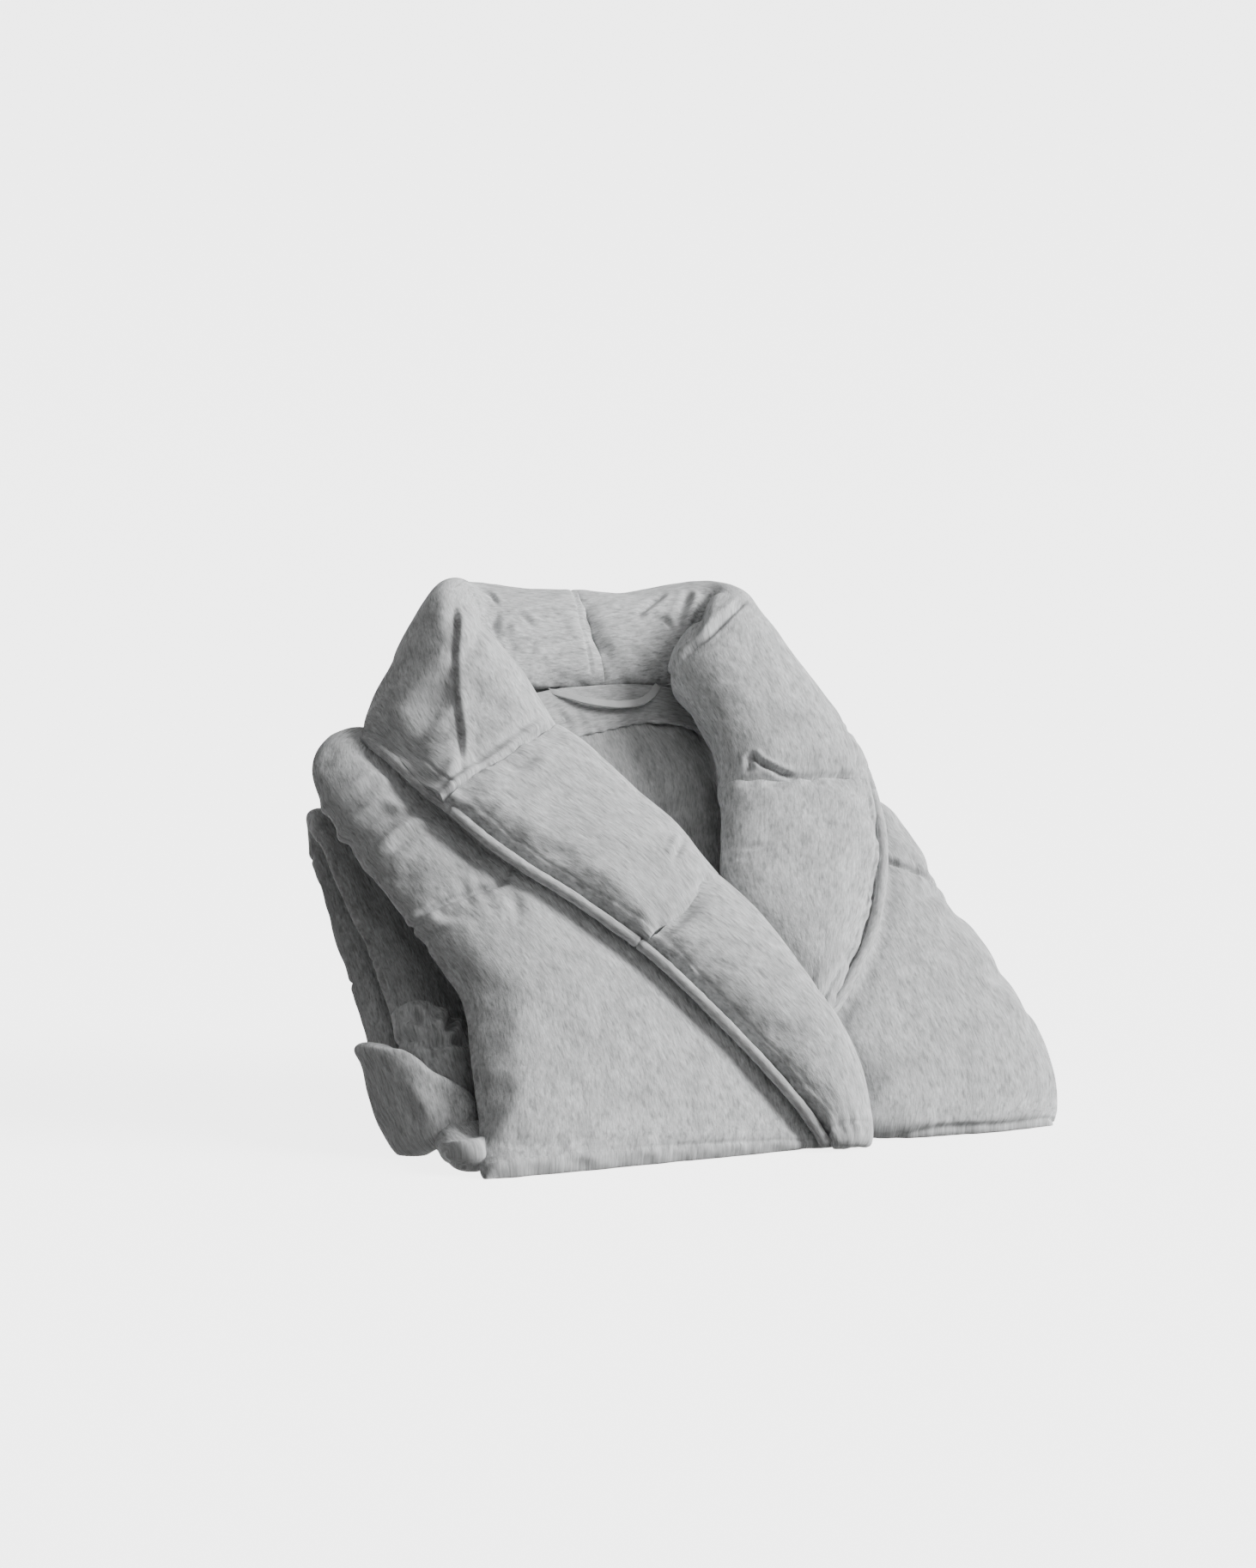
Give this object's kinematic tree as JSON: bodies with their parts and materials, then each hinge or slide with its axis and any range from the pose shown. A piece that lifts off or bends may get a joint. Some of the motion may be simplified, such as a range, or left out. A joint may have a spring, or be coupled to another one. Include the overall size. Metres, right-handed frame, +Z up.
{
  "type": "folded padded bathrobe",
  "caption": "Padded shawl-collar bathrobe in grey marl jersey, folded into an upright leaning bundle with a hanging loop and lapels that lift.",
  "frame": {"origin": "on the floor under the folded robe, at the middle of its width and 200 mm behind its front edge", "axes": "+X towards the wearer's left (the viewer's right), +Y from the front leaf to the back, +Z up"},
  "size_m": [0.5198, 0.3967, 0.3888],
  "materials": {
    "shell_jersey": "matt grey marl jersey with a soft brushed face",
    "lining_jersey": "matt grey marl jersey, plain knit",
    "rib_binding": "matt marl binding, padded and top-stitched",
    "wadding": "soft white polyester wadding",
    "tape": "matt stitched jersey tape"
  },
  "bodies": {
    "root": {"back_lining": "lining_jersey", "back_shell": "shell_jersey", "back_wadding": "wadding", "collar_left": "shell_jersey", "collar_right": "shell_jersey", "cuff_left": "shell_jersey", "cuff_right": "shell_jersey", "front_left_lining": "lining_jersey", "front_left_shell": "shell_jersey", "front_left_wadding": "wadding", "front_right_lining": "lining_jersey", "front_right_shell": "shell_jersey", "front_right_wadding": "wadding", "lapel_right_band": "shell_jersey", "neck_facing": "lining_jersey", "piping_band_right": "rib_binding", "piping_collar_left": "rib_binding", "piping_collar_right": "rib_binding", "pocket_left": "lining_jersey", "pocket_right": "lining_jersey", "skirt_bottom_turn": "shell_jersey", "skirt_hem": "rib_binding", "skirt_middle_lining": "lining_jersey", "skirt_middle_shell": "shell_jersey", "skirt_middle_wadding": "wadding", "skirt_rear_lining": "lining_jersey", "skirt_rear_shell": "shell_jersey", "skirt_rear_wadding": "wadding", "skirt_tail": "shell_jersey", "skirt_top_turn": "shell_jersey", "sleeve_head_left": "shell_jersey", "sleeve_head_right": "shell_jersey", "sleeve_left_forearm": "shell_jersey", "sleeve_left_upper": "shell_jersey", "sleeve_right_forearm": "shell_jersey", "sleeve_right_upper": "shell_jersey", "waist_belt": "shell_jersey"},
    "loop": {"hanging_loop": "tape"},
    "flap_right": {"lapel_right": "shell_jersey", "piping_lapel_right": "rib_binding"},
    "flap_left": {"lapel_left": "shell_jersey", "piping_lapel_left": "rib_binding"}
  },
  "joints": [
    {"name": "loop_swing", "type": "hinge", "parent": "root", "child": "loop", "pos_m": [0, 0.09928, 0.31013], "axis": [-1, 0, 0], "range_deg": [0, 110]},
    {"name": "lapel_right_roll", "type": "hinge", "parent": "root", "child": "flap_right", "pos_m": [0.00455, -0.06554, 0.18428], "axis": [-0.5473, 0.5153, 0.6595], "range_deg": [0, 70]},
    {"name": "lapel_left_roll", "type": "hinge", "parent": "root", "child": "flap_left", "pos_m": [0.05574, -0.13573, 0.09445], "axis": [0, -0.6157, -0.788], "range_deg": [0, 70]}
  ]
}
